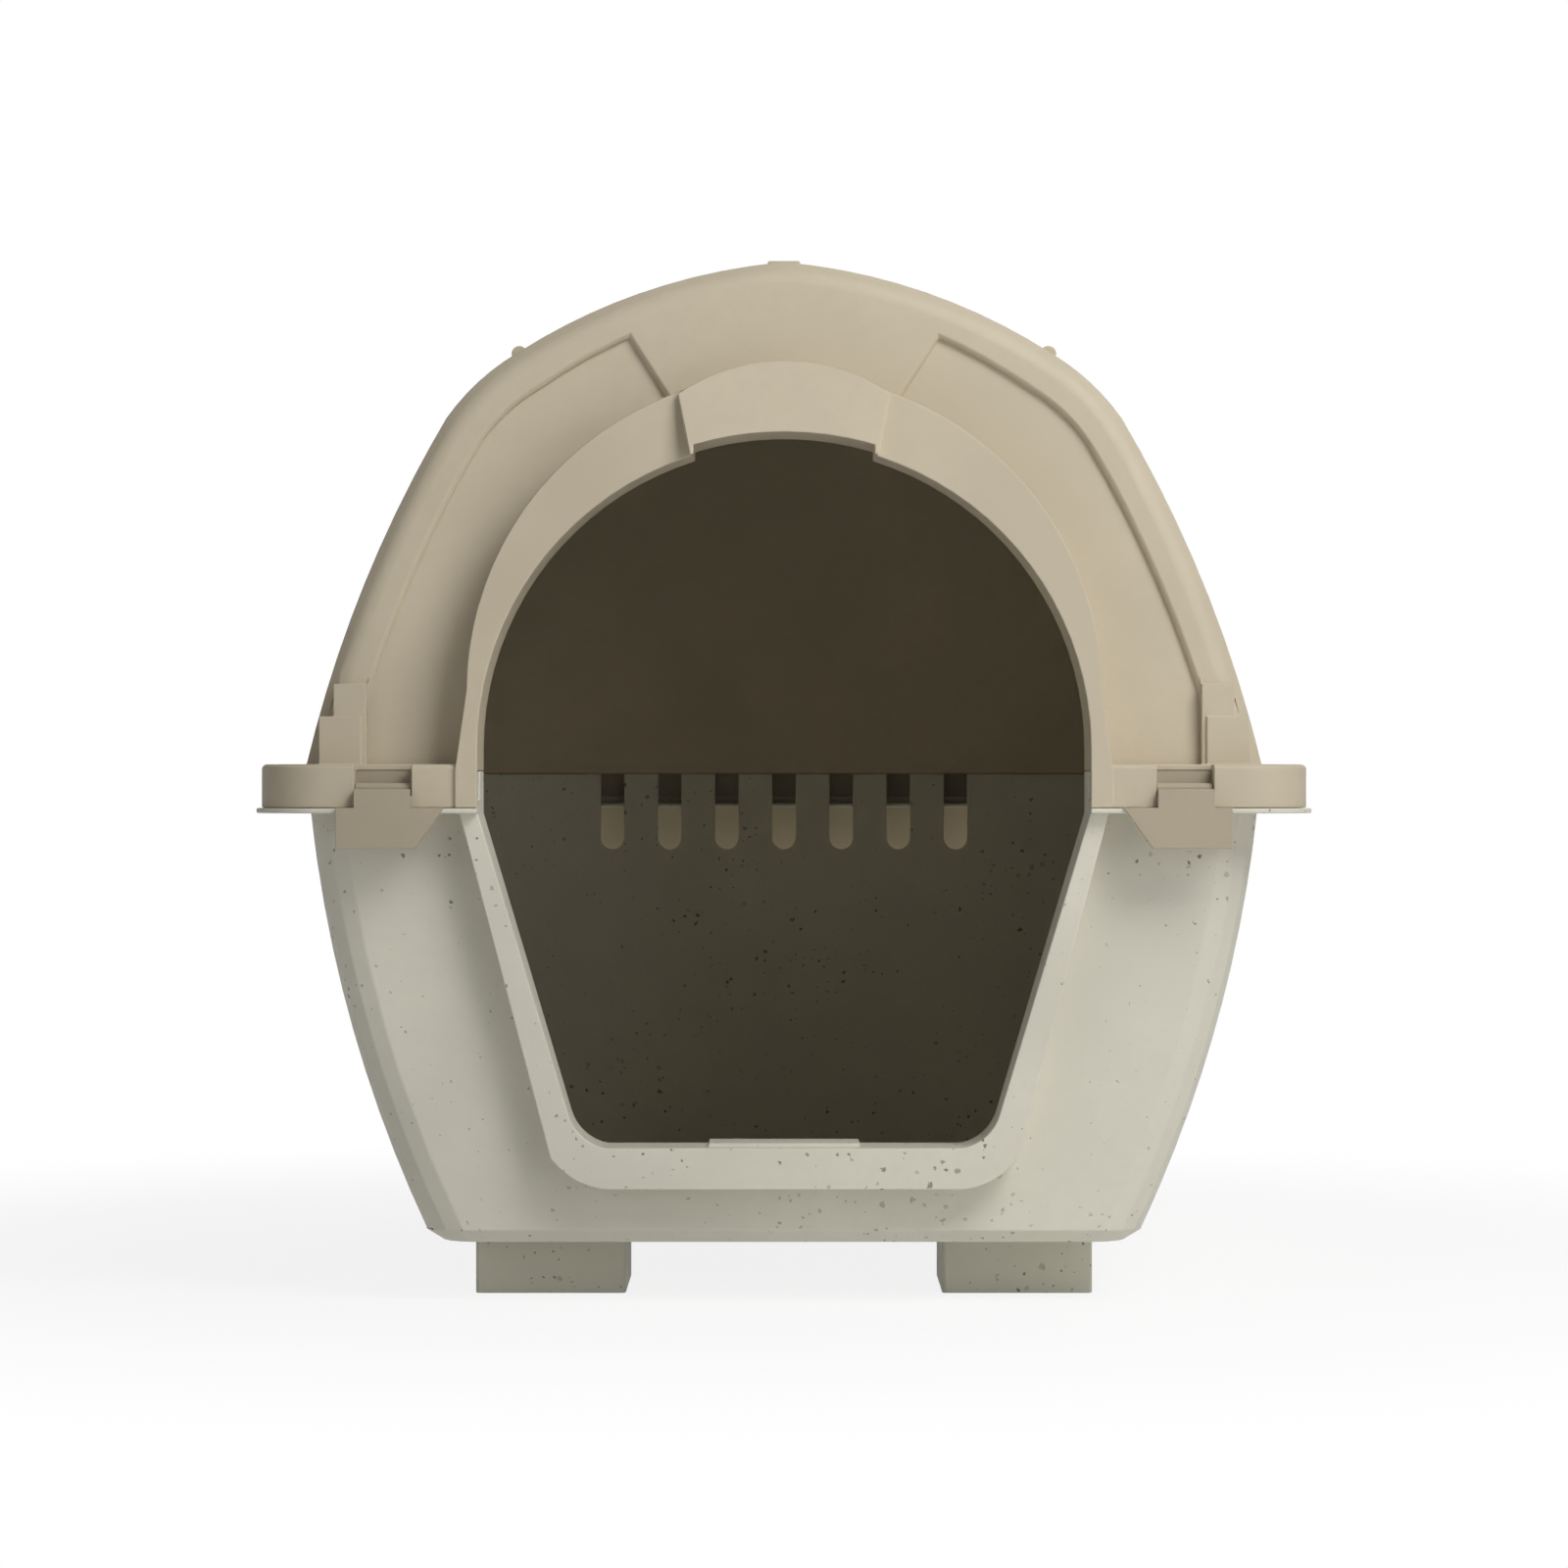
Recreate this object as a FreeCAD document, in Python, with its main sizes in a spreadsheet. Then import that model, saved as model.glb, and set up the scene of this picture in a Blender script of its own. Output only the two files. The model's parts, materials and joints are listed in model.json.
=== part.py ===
"""Dog house in two nested plastic shells: a tub on four feet and a roof that four latches hold down.

Millimetres. X runs to the right, the doorway faces -Y and Z is up. The origin lies on the ground
under the middle of the house.
"""
import FreeCAD, Part
import math
import os
import re

import Sketcher

SIZES = {
    # overall form
    "seam_height": 340.5,
    "ridge_height": 666.5,
    "foot_height": 38.7,
    "seam_half_width": 305.0,
    "seam_half_length": 388.0,
    "lean_angle": 3.5,
    "wall_thick": 4.0,
    "fit_gap": 0.3,
    # barn-shaped section of the roof
    "eave_half_width": 216.0,
    "eave_height": 566.0,
    "shoulder_half_width": 170.0,
    "shoulder_height": 608.5,
    "roof_side_radius": 794.0,
    "shoulder_radius": 146.0,
    "roof_top_radius": 375.0,
    "roof_edge_radius": 15.0,
    # section of the tub
    "tub_bottom_half_width": 226.0,
    "tub_side_radius": 838.0,
    "tub_corner_radius": 28.0,
    "tub_bottom_bevel": 8.0,
    "bevel_share": 0.7,
    "sill_rest_half_width": 48.0,
    "sill_rest_rise": 2.5,
    # seam band of the roof and flange of the tub
    "band_reach": 28.0,
    "band_height": 27.5,
    "band_skin": 3.5,
    "band_plate": 4.0,
    "band_corner_radius": 44.0,
    "band_top_bevel": 2.0,
    "flange_reach": 31.0,
    "flange_thick": 3.2,
    "lip_thick": 3.5,
    "lip_rise": 5.5,
    # doorway
    "door_half_width": 193.0,
    "door_spring_rise": 14.5,
    "brow_half_width": 57.0,
    "brow_step": 5.6,
    "brow_foot_share": 0.9,
    "door_foot_half_width": 136.5,
    "door_foot_height": 123.0,
    "sill_half_width": 113.0,
    "sill_height": 101.5,
    "sill_corner_radius": 30.0,
    "jamb_inset": 38.0,
    # raised rim round the doorway
    "rim_reach": 30.5,
    "rim_half_width": 207.0,
    "rim_arch_half_width": 200.0,
    "rim_arch_rise": 50.5,
    "rim_foot_half_width": 148.0,
    "rim_foot_height": 95.0,
    "rim_sill_half_width": 112.0,
    "rim_sill_height": 75.0,
    "rim_corner_radius": 48.0,
    # brow over the doorway
    "brow_angle": 17.0,
    "brow_outer_half_width": 67.0,
    "brow_shoulder_height": 578.0,
    "brow_top_radius": 115.0,
    "brow_top_height": 599.5,
    # frame and panels on the front and rear of the roof
    "panel_depth": 5.0,
    "frame_width": 28.0,
    "window_bevel": 2.5,
    "plate_top_half_width": 99.0,
    "plate_low_half_width": 73.0,
    "plate_top_height": 617.0,
    "plate_low_height": 576.0,
    # ribs and plinths on the roof
    "ridge_rib_half_width": 12.0,
    "ridge_rib_rise": 2.0,
    "rib_gap": 5.0,
    "shoulder_rib_radius": 5.0,
    "plinth_inner": 268.0,
    "plinth_outer": 295.0,
    "plinth_rise": 34.5,
    "plinth_reach": 5.0,
    "step_inner": 265.0,
    "step_outer": 286.0,
    "step_rise": 55.0,
    "step_reach": 2.5,
    # air slots in the rear of the tub and the rain hood over them
    "slot_width": 18.5,
    "slot_pitch": 45.5,
    "slot_count": 7,
    "slot_run_out": 3.0,
    "slot_height": 60.2,
    "hood_half_width": 190.0,
    "hood_drop": 76.5,
    # latches
    "latch_place": 252.5,
    "notch_half_width": 18.0,
    "notch_depth": 20.0,
    "notch_back": 12.0,
    "ear_thick": 4.0,
    "ear_depth": 19.0,
    "pin_reach": 21.0,
    "pin_drop": 15.0,
    "pin_radius": 2.0,
    "pin_fit": 0.1,
    "barrel_radius": 3.2,
    "neck_height": 4.0,
    "latch_thick": 3.5,
    "latch_shoulder_drop": 12.5,
    "latch_inner_half_width": 39.0,
    "latch_outer_half_width": 29.0,
    "latch_tip_half_width": 21.0,
    "latch_drop": 38.0,
    # feet
    "foot_width": 98.0,
    "foot_length": 110.0,
    "foot_inset": 103.0,
    "foot_place": 250.0,
    "foot_wall": 5.0,
    "foot_bevel": 2.0,
    "screw_radius": 2.5,
    "screw_head_radius": 6.0,
    "screw_head_thick": 2.5,
    "screw_length": 16.0,
    "screw_clearance": 1.0,
    "screw_boss_radius": 8.0,
}

NAMES = re.compile(r"[a-z_]{4,}")

doc = FreeCAD.newDocument("DogHouse")
sheet = doc.addObject("Spreadsheet::Sheet", "Dims")
for row, (name, size) in enumerate(SIZES.items(), start=1):
    sheet.set(f"A{row}", name)
    sheet.set(f"B{row}", str(size))
    sheet.setAlias(f"B{row}", name)
doc.recompute()


def cells(words):
    """The same sum with each size's name pointing at its cell."""
    return NAMES.sub(lambda found: f"Dims.{found[0]}" if found[0] in SIZES else found[0], str(words))


def value(words):
    """What such a sum comes to, as a number."""
    return float(sheet.evalExpression(cells(words)))


def bind(thing, **sums):
    """Tie properties of an object to sums of sizes."""
    for prop, words in sums.items():
        thing.setExpression(prop, cells(words))


def new_body(label):
    """An empty body whose label names the piece and its file."""
    body = doc.addObject("PartDesign::Body", label)
    body.Label = label
    return body


def new_sketch(body, name, role, raised=0):
    """A sketch on one of the body's own planes, raised along that plane's normal."""
    sketch = body.newObject("Sketcher::SketchObject", name)
    plane = next(f for f in body.Origin.OriginFeatures if f.Role == role)
    sketch.AttachmentSupport = [(plane, "")]
    sketch.MapMode = "FlatFace"
    sketch.setExpression("AttachmentOffset.Base.z", cells(raised))
    return sketch


def pin_down(sketch, edge, end, across, up):
    """Hold one end of an edge, or the middle of a circle, at its place."""
    for kind, words in (("DistanceX", across), ("DistanceY", up)):
        index = sketch.addConstraint(Sketcher.Constraint(kind, -1, 1, edge, end, value(words)))
        sketch.setExpression(f"Constraints[{index}]", cells(words))


def size_radius(sketch, edge, words):
    index = sketch.addConstraint(Sketcher.Constraint("Radius", edge, value(words)))
    sketch.setExpression(f"Constraints[{index}]", cells(words))


def draw_outline(sketch, outline):
    """Draw a closed outline, anticlockwise.

    A pair is a corner. A text between two corners is the radius of the round edge that joins
    them, with a minus in front where the edge bows inwards.
    """
    corners = [item for item in outline if isinstance(item, tuple)]
    bends = []
    for item in outline:
        if isinstance(item, tuple):
            bends.append("")
        else:
            bends[-1] = item
    spots = [FreeCAD.Vector(value(across), value(up), 0) for across, up in corners]
    edges = []
    for bend, here, there in zip(bends, spots, spots[1:] + spots[:1]):
        if not bend:
            edges.append((sketch.addGeometry(Part.LineSegment(here, there), False), 1, 2))
            continue
        inward = bend.startswith("-")
        radius = value(bend.lstrip("-"))
        start, stop = (there, here) if inward else (here, there)
        chord = stop - start
        reach = math.sqrt(radius**2 - chord.Length**2 / 4) / chord.Length
        middle = (start + stop) / 2 + FreeCAD.Vector(-chord.y, chord.x, 0) * reach
        turns = [math.atan2(spot.y - middle.y, spot.x - middle.x) for spot in (start, stop)]
        circle = Part.Circle(middle, FreeCAD.Vector(0, 0, 1), radius)
        edge = sketch.addGeometry(Part.ArcOfCircle(circle, *turns), False)
        edges.append((edge, 2, 1) if inward else (edge, 1, 2))
    for (edge, first, _), (across, up) in zip(edges, corners):
        pin_down(sketch, edge, first, across, up)
    for (edge, _, last), (after, first, _) in zip(edges, edges[1:] + edges[:1]):
        sketch.addConstraint(Sketcher.Constraint("Coincident", edge, last, after, first))
    for (edge, _, _), bend in zip(edges, bends):
        if bend:
            size_radius(sketch, edge, bend.lstrip("-"))


def draw_circle(sketch, across, up, radius):
    middle = FreeCAD.Vector(value(across), value(up), 0)
    circle = Part.Circle(middle, FreeCAD.Vector(0, 0, 1), value(radius))
    edge = sketch.addGeometry(circle, False)
    pin_down(sketch, edge, 3, across, up)
    size_radius(sketch, edge, radius)


def box_outline(left, low, right, high):
    return [(left, low), (right, low), (right, high), (left, high)]


def mirror_outline(half):
    """The same outline on the other side of the middle line, still anticlockwise."""
    return [item if isinstance(item, str) else (f"-({item[0]})", item[1]) for item in reversed(half)]


def add(body, kind, name, sketch, **sums):
    """A pad or pocket of a sketch, along its normal unless reverse is given."""
    reverse = sums.pop("reverse", False)
    both_ways = sums.pop("both_ways", False)
    through = sums.pop("through", False)
    feature = body.newObject(f"PartDesign::{kind}", name)
    feature.Profile = sketch
    feature.Reversed = reverse
    if both_ways or through:
        feature.SideType = "Symmetric"
    if through:
        feature.Type = "ThroughAll"
    bind(feature, **sums)
    doc.recompute()
    return feature


def cut_check(body, name, sketch, **sums):
    """A pocket that has to take some material away."""
    before = body.Shape.Volume
    pocket = add(body, "Pocket", name, sketch, **sums)
    if not pocket.Shape.Volume < before - 1:
        raise RuntimeError(f"{name} cuts nothing")
    return pocket


def bevel_edges(body, name, size, chosen):
    """Chamfer the edges of the body's tip that the test picks."""
    tip = body.Tip
    edges = enumerate(tip.Shape.Edges, start=1)
    names = [f"Edge{n}" for n, edge in edges if chosen(edge, tip.Shape)]
    feature = body.newObject("PartDesign::Chamfer", name)
    feature.Base = (tip, names)
    bind(feature, Size=size)
    doc.recompute()
    return feature


def ease_edges(body, name, radius, chosen, chosen_again):
    """Ease edges by narrow flats that touch a round: one at first, then one along its own edges."""
    bevel_edges(body, f"{name}First", f"{radius} * {FIRST_FLAT}", chosen)
    return bevel_edges(body, name, f"{radius} * {SECOND_FLAT}", chosen_again)


def faces_meet(edge, shape, angles):
    """Whether the angle between the two faces at an edge is between two angles in degrees."""
    faces = shape.ancestorsOfType(edge, Part.Face)
    if len(faces) < 2:
        return False
    spot = middle_of(edge)
    normals = [face.normalAt(*face.Surface.parameter(spot)) for face in faces]
    return angles[0] < math.degrees(normals[0].getAngle(normals[1])) < angles[1]


def at_an_end(edge, shape):
    """Whether an edge runs between a face as long as the house and one of its ends."""
    faces = shape.ancestorsOfType(edge, Part.Face)
    long = [face for face in faces if face.BoundBox.YLength > value("seam_half_length")]
    level = edge.BoundBox.ZLength < TOUCH and edge.BoundBox.ZMin < value(f"seam_height + {ROOT}")
    return len(long) == 1 and not level


def in_front_of_a_flat(edge, shape):
    """Whether an edge lies between an end of the roof and the first flat round it."""
    return faces_meet(edge, shape, BESIDE_FLAT) and not at_an_end(edge, shape)


def round_a_window(edge, shape):
    """Whether an edge lies between the face of a frame and a side of its window, above the band."""
    spot = middle_of(edge)
    lean = math.tan(math.radians(value("lean_angle")))
    face = value("seam_half_length") - (spot.z - value("seam_height")) * lean
    raised = spot.z > value(BAND_TOP)
    return raised and abs(abs(spot.y) - face) < TOUCH and faces_meet(edge, shape, SQUARE)


def hollow_out(body, cavity):
    """Cut one body's form out of another."""
    before = body.Shape.Volume
    cut = body.newObject("PartDesign::Boolean", f"{body.Name}Hollow")
    cut.Type = "Cut"
    cut.setObjects([cavity])
    doc.recompute()
    if not cut.Shape.Volume < before - 1:
        raise RuntimeError(f"{cavity.Name} cuts nothing")
    return cut


def middle_of(edge):
    return edge.valueAt((edge.FirstParameter + edge.LastParameter) / 2)


# sums of sizes that several pieces share
TUB_TOP = "(seam_height - fit_gap)"
BAND_TOP = "(seam_height + band_plate)"
BAND_FOOT = "(seam_height + band_plate - band_height)"
FLANGE_TOP = f"({BAND_FOOT} - fit_gap)"
FLANGE_FOOT = f"({FLANGE_TOP} - flange_thick)"
LIP_TOP = f"({FLANGE_TOP} + lip_rise)"
SKIRT_BACK = "(band_reach - band_skin)"
NOTCH_FOOT = f"({BAND_TOP} - notch_depth)"
EAR_FOOT = f"({BAND_TOP} - ear_depth)"
PIN_HEIGHT = f"({BAND_TOP} - pin_drop)"
SPRING = "(seam_height + door_spring_rise)"
RIM_ARCH = "(seam_height + rim_arch_rise)"
SLOT_FOOT = f"({TUB_TOP} - slot_height)"
FAR = "(seam_half_length + 130)"
ABOVE = "(ridge_height + 20)"
BELOW = "(foot_height - 20)"
ROOF_LOW = "(seam_height - 20)"
TUB_HIGH = "(seam_height + 20)"
PANEL_FOOT = "(seam_height + band_plate / 2)"
FRAME_FOOT = "(seam_half_length - 40)"
# how far a sloping end face has moved sideways for each millimetre up or down
LEAN = "tan(lean_angle)"
# shares of an inset that go sideways and down where two round stretches of the roof's section meet
STEEP = "0.84"
FLAT = "0.54"
# shares of an inset by which the foot of the doorway's outline moves, at its two lowest corners
SILL_SHARE = "0.4"
JAMB_SHARE = "0.3"
# sizes of the chamfers that touch a round, as shares of its radius
FIRST_FLAT = "0.586"
SECOND_FLAT = "0.215"
# how deep a part starts inside what it stands on, and how far a cut runs past what it cuts
ROOT = "1"
OVERRUN = "5"
# lengths that reach past both ends of the house, and past one end from the foot of its frame
BLOCK_LENGTH = "(2 * seam_half_length + 20)"
END_LENGTH = "110"
# what counts as touching, and the angles between the faces beside a flat and at a sharp edge
TOUCH = 0.01
BESIDE_FLAT = (35, 55)
SQUARE = (80, 100)


def lean_cut(body, name, reach, ends=("front", "rear"), low=ROOF_LOW, high=ABOVE, way=1):
    """Trim the ends to sloping faces that stand at a reach from the middle at the seam's height.

    Way is 1 where they lean back going up, as on the roof, and -1 where they lean out, as on the tub.
    """
    front = [
        (f"-{FAR}", low),
        (f"-({reach} + {way} * (seam_height - {low}) * {LEAN})", low),
        (f"-({reach} - {way} * ({high} - seam_height) * {LEAN})", high),
        (f"-{FAR}", high),
    ]
    sketch = new_sketch(body, f"{name}Side", "YZ_Plane")
    if "front" in ends:
        draw_outline(sketch, front)
    if "rear" in ends:
        draw_outline(sketch, mirror_outline(front))
    return cut_check(body, name, sketch, through=True)


def roof_section(inset="0", foot="seam_height"):
    """The barn-shaped section of the roof, drawn in by an inset."""
    right = [
        (f"seam_half_width - {inset}", foot),
        f"roof_side_radius - {inset}",
        (f"eave_half_width - {inset} * {STEEP}", f"eave_height - {inset} * {FLAT}"),
        f"shoulder_radius - {inset}",
        (f"shoulder_half_width - {inset} * {FLAT}", f"shoulder_height - {inset} * {STEEP}"),
        f"roof_top_radius - {inset}",
    ]
    ridge = [("0", f"ridge_height - {inset}"), f"roof_top_radius - {inset}"]
    return right + ridge + mirror_outline(right[:-1])


def front_windows():
    """The two sunk panels beside the doorway, each inside the frame and up to the plate above."""
    right = roof_section("frame_width", PANEL_FOOT)[:6]
    right += [
        ("plate_top_half_width", "plate_top_height"),
        ("plate_low_half_width", "plate_low_height"),
        ("plate_low_half_width", right[0][1]),
    ]
    return right, mirror_outline(right)


def door_outline(foot, grown="0"):
    """The doorway in the roof, an arch that is a little taller under the brow, or one a bit larger."""
    half, brow_half = f"(door_half_width + {grown})", f"(brow_half_width + {grown})"
    right = [
        (half, foot),
        (half, SPRING),
        half,
        (brow_half, f"{SPRING} + sqrt({half}^2 - {brow_half}^2)"),
        (brow_half, f"{SPRING} + sqrt(({half} + brow_step)^2 - {brow_half}^2)"),
        f"{half} + brow_step",
    ]
    return right + mirror_outline(right[:-1])


def arch_outline(inset="0"):
    """The outer edge of the raised rim, wider than the doorway and widest over its top."""
    right = [
        (f"rim_half_width - {inset}", "seam_height"),
        (f"rim_arch_half_width - {inset}", RIM_ARCH),
        f"rim_arch_half_width - {inset}",
    ]
    top = [("0", f"{RIM_ARCH} + rim_arch_half_width - {inset}"), right[-1]]
    return right + top + mirror_outline(right[:-1])


def brow_outline(inset="0"):
    """The part of the rim over the doorway that stands furthest forward."""
    low = f"({SPRING} + door_half_width * brow_foot_share)"
    right = [
        (f"brow_half_width - {inset}", low),
        (f"brow_outer_half_width - {inset}", f"brow_shoulder_height - {inset}"),
        f"brow_top_radius - {inset}",
    ]
    return right + mirror_outline(right[:-1])


def brow_slope(inset="0"):
    """What is cut from the front of the brow, so that it runs down and forward from the rim."""
    top = f"(seam_half_length + rim_reach - {inset} - (brow_top_height - seam_height) * {LEAN})"
    foot = f"({top} + (brow_top_height - {SPRING}) * tan(brow_angle))"
    raised = f"({top} - ({ABOVE} - brow_top_height) * tan(brow_angle))"
    return [
        (f"-{FAR}", SPRING),
        (f"-{foot}", SPRING),
        (f"-{raised}", ABOVE),
        (f"-{FAR}", ABOVE),
    ]


def roof_front(body, inset="0"):
    """The raised rim and brow round the top of the doorway, on a roof or, inset, on its cavity."""
    rim = new_sketch(body, f"{body.Name}Rim", "XZ_Plane", FRAME_FOOT)
    draw_outline(rim, arch_outline(inset))
    add(body, "Pad", f"{body.Name}RimPad", rim, Length=END_LENGTH)
    reach = f"(seam_half_length + rim_reach - {inset})"
    lean_cut(body, f"{body.Name}RimFace", reach, ends=("front",))
    brow = new_sketch(body, f"{body.Name}Brow", "XZ_Plane", FRAME_FOOT)
    draw_outline(brow, brow_outline(inset))
    add(body, "Pad", f"{body.Name}BrowPad", brow, Length=END_LENGTH)
    slope = new_sketch(body, f"{body.Name}BrowSlope", "YZ_Plane")
    draw_outline(slope, brow_slope(inset))
    cut_check(body, f"{body.Name}BrowFace", slope, through=True)


def cut_doorway(body, name, outline, start):
    """Cut an outline forward from a distance in front of the middle of the house."""
    sketch = new_sketch(body, f"{name}Outline", "XZ_Plane", start)
    draw_outline(sketch, outline)
    return cut_check(body, name, sketch, Length=f"{FAR} - ({start})", reverse=True)


def roof_cavity():
    """The room inside the roof, which also fills the raised rim but not the doorway's jamb."""
    body = new_body("RoofCavity")
    section = new_sketch(body, "CavitySection", "XZ_Plane")
    low = [("-(seam_half_width - wall_thick)", f"seam_height - {OVERRUN}")]
    low += [("seam_half_width - wall_thick", f"seam_height - {OVERRUN}")]
    draw_outline(section, low + roof_section("wall_thick"))
    add(body, "Pad", "CavityBlock", section, Length=BLOCK_LENGTH, both_ways=True)
    lean_cut(body, "CavityEnds", "(seam_half_length - panel_depth - wall_thick)")
    bevel_edges(body, "CavityBevels", "roof_edge_radius - panel_depth - wall_thick", at_an_end)
    roof_front(body, "wall_thick")
    jamb = door_outline(f"seam_height - 2 * {OVERRUN}", "wall_thick")
    cut_doorway(body, "JambLeft", jamb, "seam_half_length - jamb_inset")
    return body


def band_outline(reach, radius):
    """A plan outline round the house at a reach from its walls, with round corners."""
    across, along = f"(seam_half_width + {reach})", f"(seam_half_length + {reach})"
    right = [
        (f"{across} - {radius}", f"-{along}"),
        radius,
        (across, f"-({along} - {radius})"),
        (across, f"{along} - {radius}"),
        radius,
        (f"{across} - {radius}", along),
    ]
    return right + mirror_outline(right)


def ring_pad(body, name, low, rise, outer, inner, outer_radius, inner_radius):
    """A level ring round the house between two reaches from its walls."""
    sketch = new_sketch(body, f"{name}Plan", "XY_Plane", low)
    draw_outline(sketch, band_outline(outer, outer_radius))
    draw_outline(sketch, band_outline(inner, inner_radius))
    return add(body, "Pad", name, sketch, Length=rise)


def latch_spots():
    """Where each latch sits: its name, the end of the house and the side of the doorway."""
    for end, along in (("front", -1), ("rear", 1)):
        for hand, across in (("left", -1), ("right", 1)):
            yield f"latch_{end}_{hand}", along, across


def facing(along, reach):
    """A distance along Y for a reach from the front or rear wall."""
    return f"{along} * (seam_half_length + {reach})"


def boxes_at_latches(sketch, sides, near, far):
    """A box at each latch, or two, between two reaches from the wall, in plan."""
    for _, along, across in latch_spots():
        for left, right in sides:
            low, high = sorted((facing(along, near), facing(along, far)), key=value)
            middle = f"{across} * latch_place"
            draw_outline(sketch, box_outline(f"{middle} + {left}", low, f"{middle} + {right}", high))


def notch_band(body):
    """The notches in the band, each between two ears with a hole for the latch's pin."""
    notch = new_sketch(body, "NotchPlan", "XY_Plane", NOTCH_FOOT)
    boxes_at_latches(notch, [("-notch_half_width", "notch_half_width")], "notch_back",
                     f"band_reach + {OVERRUN}")
    cut_check(body, "Notches", notch, Length=f"{ABOVE} - {NOTCH_FOOT}", reverse=True)
    ears = new_sketch(body, "EarPlan", "XY_Plane", EAR_FOOT)
    sides = [
        ("-(notch_half_width + ear_thick)", "-notch_half_width"),
        ("notch_half_width", "notch_half_width + ear_thick"),
    ]
    boxes_at_latches(ears, sides, "notch_back", f"{SKIRT_BACK} + {ROOT}")
    add(body, "Pad", "Ears", ears, Length=f"ear_depth - {ROOT}")
    holes = new_sketch(body, "PinHoles", "YZ_Plane")
    for along in (-1, 1):
        draw_circle(holes, facing(along, "pin_reach"), PIN_HEIGHT, "pin_radius + pin_fit")
    far = f"latch_place + notch_half_width + ear_thick + {ROOT}"
    cut_check(body, "PinHoleCut", holes, Length=f"2 * ({far})", both_ways=True)


def add_hood(body):
    """The rain hood that hangs from the rear of the band, clear of the tub's flange."""
    back = "flange_reach + fit_gap"
    top = new_sketch(body, "HoodTopPlan", "XY_Plane", "seam_height")
    low, high = facing(1, SKIRT_BACK), facing(1, f"({back} + latch_thick)")
    draw_outline(top, box_outline("-hood_half_width", low, "hood_half_width", high))
    add(body, "Pad", "HoodTop", top, Length=f"band_plate - {ROOT}")
    face = new_sketch(body, "HoodFace", "XZ_Plane", f"-(seam_half_length + {back})")
    low, high = f"{BAND_TOP} - hood_drop", f"{BAND_TOP} - {ROOT}"
    draw_outline(face, box_outline("-hood_half_width", low, "hood_half_width", high))
    add(body, "Pad", "Hood", face, Length="latch_thick", reverse=True)


def add_ribs(body):
    """The ribs along the ridge and the shoulders, and the plinths at the foot of the front frame."""
    ridge = new_sketch(body, "RidgeRibSection", "XZ_Plane")
    right = [
        ("ridge_rib_half_width", "ridge_height - wall_thick"),
        ("ridge_rib_half_width - ridge_rib_rise", "ridge_height + ridge_rib_rise"),
    ]
    draw_outline(ridge, right + mirror_outline(right))
    add(body, "Pad", "RidgeRib", ridge, Length=rib_length("ridge_height"), both_ways=True)
    shoulders = new_sketch(body, "ShoulderRibSection", "XZ_Plane")
    for across in ("shoulder_half_width", "-shoulder_half_width"):
        draw_circle(shoulders, across, "shoulder_height", "shoulder_rib_radius")
    add(body, "Pad", "ShoulderRibs", shoulders, Length=rib_length("shoulder_height"), both_ways=True)
    for name in ("plinth", "step"):
        add_plinths(body, name)


def add_plinths(body, name):
    """A pair of blocks at the foot of the front frame, one each side."""
    plan = new_sketch(body, f"{name}Section", "XZ_Plane", "seam_half_length - panel_depth")
    box = box_outline(f"{name}_inner", f"{BAND_TOP} - {ROOT}", f"{name}_outer", f"seam_height + {name}_rise")
    draw_outline(plan, box)
    draw_outline(plan, mirror_outline(box))
    add(body, "Pad", f"{name}Pad", plan, Length=f"panel_depth + {name}_reach")


def rib_length(height):
    """How long a rib at a height is, from one rounded end of the roof to the other."""
    return f"2 * (seam_half_length - ({height} - seam_height) * {LEAN} - roof_edge_radius - rib_gap)"


def upper_shell():
    """The roof with its doorway arch, brow, band, latch notches and rain hood."""
    body = new_body("upper_shell")
    block = new_sketch(body, "RoofSection", "XZ_Plane")
    draw_outline(block, roof_section())
    add(body, "Pad", "RoofBlock", block, Length=BLOCK_LENGTH, both_ways=True)
    lean_cut(body, "PanelFaces", "(seam_half_length - panel_depth)")
    front = new_sketch(body, "FrontFrame", "XZ_Plane", FRAME_FOOT)
    draw_outline(front, roof_section())
    for window in front_windows():
        draw_outline(front, window)
    add(body, "Pad", "FrontFramePad", front, Length=END_LENGTH)
    rear = new_sketch(body, "RearFrame", "XZ_Plane", f"-{FRAME_FOOT}")
    draw_outline(rear, roof_section())
    draw_outline(rear, roof_section("frame_width", PANEL_FOOT))
    add(body, "Pad", "RearFramePad", rear, Length=END_LENGTH, reverse=True)
    lean_cut(body, "FrameFaces", "seam_half_length")
    ease_edges(body, "EndRounds", "roof_edge_radius", at_an_end, in_front_of_a_flat)
    bevel_edges(body, "WindowBevels", "window_bevel", round_a_window)
    roof_front(body)
    hollow_out(body, roof_cavity())
    ring_pad(body, "BandPlate", "seam_height", "band_plate", f"band_reach - {ROOT}", "-wall_thick / 2",
             "band_corner_radius", "roof_edge_radius")
    ring_pad(body, "BandSkirt", BAND_FOOT, "band_height", "band_reach", SKIRT_BACK,
             "band_corner_radius", "band_corner_radius - band_skin")
    bevel_edges(body, "BandBevel", "band_top_bevel", on_band_top)
    feet = new_sketch(body, "RimFeet", "XZ_Plane", f"seam_half_length + {SKIRT_BACK}")
    foot = box_outline("door_half_width", BAND_FOOT, "rim_half_width", "seam_height")
    draw_outline(feet, foot)
    draw_outline(feet, mirror_outline(foot))
    add(body, "Pad", "RimFeetPad", feet, Length=f"rim_reach - {SKIRT_BACK}")
    outline = door_outline(f"{BAND_FOOT} - {OVERRUN}")
    cut_doorway(body, "Doorway", outline, f"seam_half_length - jamb_inset - {OVERRUN}")
    notch_band(body)
    add_hood(body)
    add_ribs(body)
    return body


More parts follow.
